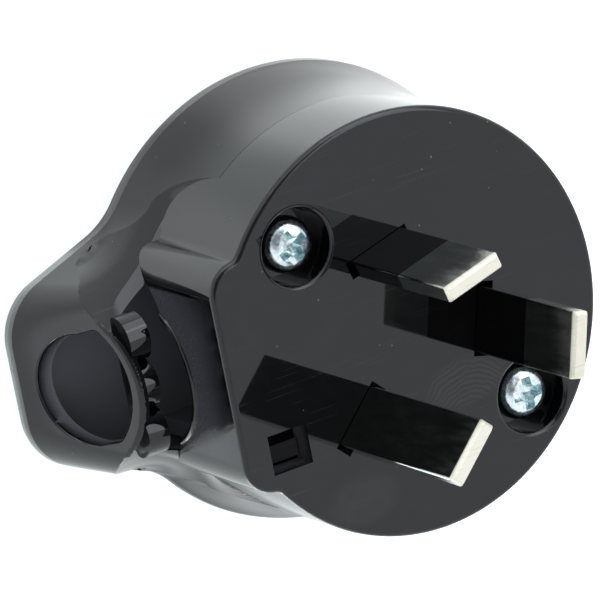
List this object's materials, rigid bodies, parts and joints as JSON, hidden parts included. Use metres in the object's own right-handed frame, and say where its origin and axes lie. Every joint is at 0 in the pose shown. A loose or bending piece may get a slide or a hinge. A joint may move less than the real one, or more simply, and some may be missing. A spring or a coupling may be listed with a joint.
{
  "type": "side entry plug",
  "caption": "Rewirable flat-blade mains plug with a round pin face, a flared rear cover and a side cord tab; the live blades are part sleeved and the earth blade is longer.",
  "frame": {"origin": "centre of the pin arrangement, on the engagement face", "axes": "+Z along the blades, away from the face; +X towards the cord entry"},
  "size_m": [0.0536, 0.0446, 0.0434],
  "materials": {
    "body_plastic": "glossy black moulding",
    "sleeve_plastic": "satin black",
    "pin_plating": "nickel plated, lightly scratched",
    "terminal_brass": "turned brass",
    "screw_steel": "bright zinc plated"
  },
  "bodies": {
    "root": {"front_body": "body_plastic", "rear_cover": "body_plastic", "active_pin": "pin_plating", "neutral_pin": "pin_plating", "earth_pin": "pin_plating", "active_sleeve": "sleeve_plastic", "neutral_sleeve": "sleeve_plastic", "active_terminal": "terminal_brass", "neutral_terminal": "terminal_brass", "earth_terminal": "terminal_brass", "terminal_screws": "screw_steel", "cover_screws": "screw_steel"}
  },
  "joints": []
}
